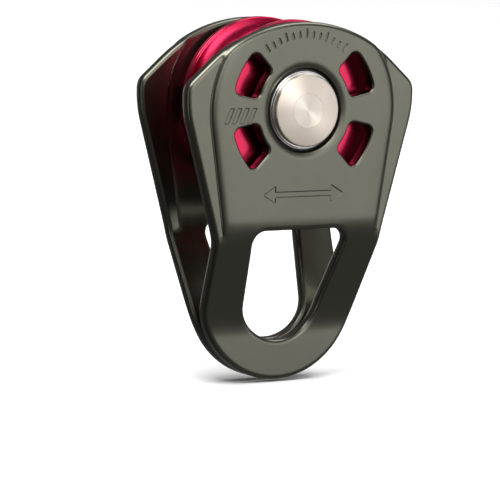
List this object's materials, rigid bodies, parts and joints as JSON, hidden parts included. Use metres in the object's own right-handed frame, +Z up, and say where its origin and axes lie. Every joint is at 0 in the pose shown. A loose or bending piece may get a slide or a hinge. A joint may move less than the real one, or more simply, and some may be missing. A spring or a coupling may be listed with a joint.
{
  "type": "rope pulley",
  "caption": "Swing-cheek rope pulley: grooved sheave on sealed ball bearings between two pivoting cheek plates that close on a carabiner eye.",
  "frame": {"origin": "centre of the sheave on the axle's axis, midway between the two cheeks", "axes": "+Y along the axle, out of the rear cheek; +Z up, away from the carabiner eyes; +X across the cheeks, along the rope"},
  "size_m": [0.0542, 0.0266, 0.0755],
  "materials": {
    "cheek_aluminium": "satin anodised, dark olive grey",
    "sheave_aluminium": "glossy anodised, magenta red",
    "axle_steel": "turned and polished stainless steel",
    "bearing_steel": "ground and polished",
    "washer_steel": "polished",
    "bush_polymer": "black bearing polymer",
    "seal_rubber": "moulded",
    "cage_polymer": "natural polyamide"
  },
  "bodies": {
    "axle": {"axle_pin": "axle_steel", "front_axle_head": "axle_steel", "rear_axle_head": "axle_steel", "front_thrust_washer": "washer_steel", "rear_thrust_washer": "washer_steel", "front_side_spacer": "washer_steel", "rear_side_spacer": "washer_steel", "centre_spacer": "washer_steel", "front_inner_ring": "bearing_steel", "rear_inner_ring": "bearing_steel"},
    "front_side": {"front_cheek": "cheek_aluminium", "front_cheek_bush": "bush_polymer"},
    "rear_side": {"rear_cheek": "cheek_aluminium", "rear_cheek_bush": "bush_polymer"},
    "sheave": {"sheave": "sheave_aluminium", "front_outer_ring": "bearing_steel", "rear_outer_ring": "bearing_steel", "front_outboard_seal": "seal_rubber", "rear_outboard_seal": "seal_rubber", "front_inboard_seal": "seal_rubber", "rear_inboard_seal": "seal_rubber"},
    "front_ball_train": {"front_balls": "bearing_steel", "front_cage": "cage_polymer"},
    "rear_ball_train": {"rear_balls": "bearing_steel", "rear_cage": "cage_polymer"}
  },
  "joints": [
    {"name": "front_cheek_swing", "type": "hinge", "parent": "axle", "child": "front_side", "pos_m": [0, 0, 0], "axis": [0, 1, 0], "continuous": true},
    {"name": "rear_cheek_swing", "type": "hinge", "parent": "axle", "child": "rear_side", "pos_m": [0, 0, 0], "axis": [0, 1, 0], "continuous": true},
    {"name": "sheave_spin", "type": "hinge", "parent": "axle", "child": "sheave", "pos_m": [0, 0, 0], "axis": [0, 1, 0], "continuous": true},
    {"name": "front_ball_orbit", "type": "hinge", "parent": "axle", "child": "front_ball_train", "pos_m": [0, 0, 0], "axis": [0, 1, 0], "continuous": true},
    {"name": "rear_ball_orbit", "type": "hinge", "parent": "axle", "child": "rear_ball_train", "pos_m": [0, 0, 0], "axis": [0, 1, 0], "continuous": true}
  ],
  "couplings": [
    {"joint": "front_ball_orbit", "follows": "sheave_spin", "ratio": 0.6148},
    {"joint": "rear_ball_orbit", "follows": "sheave_spin", "ratio": 0.6148}
  ]
}
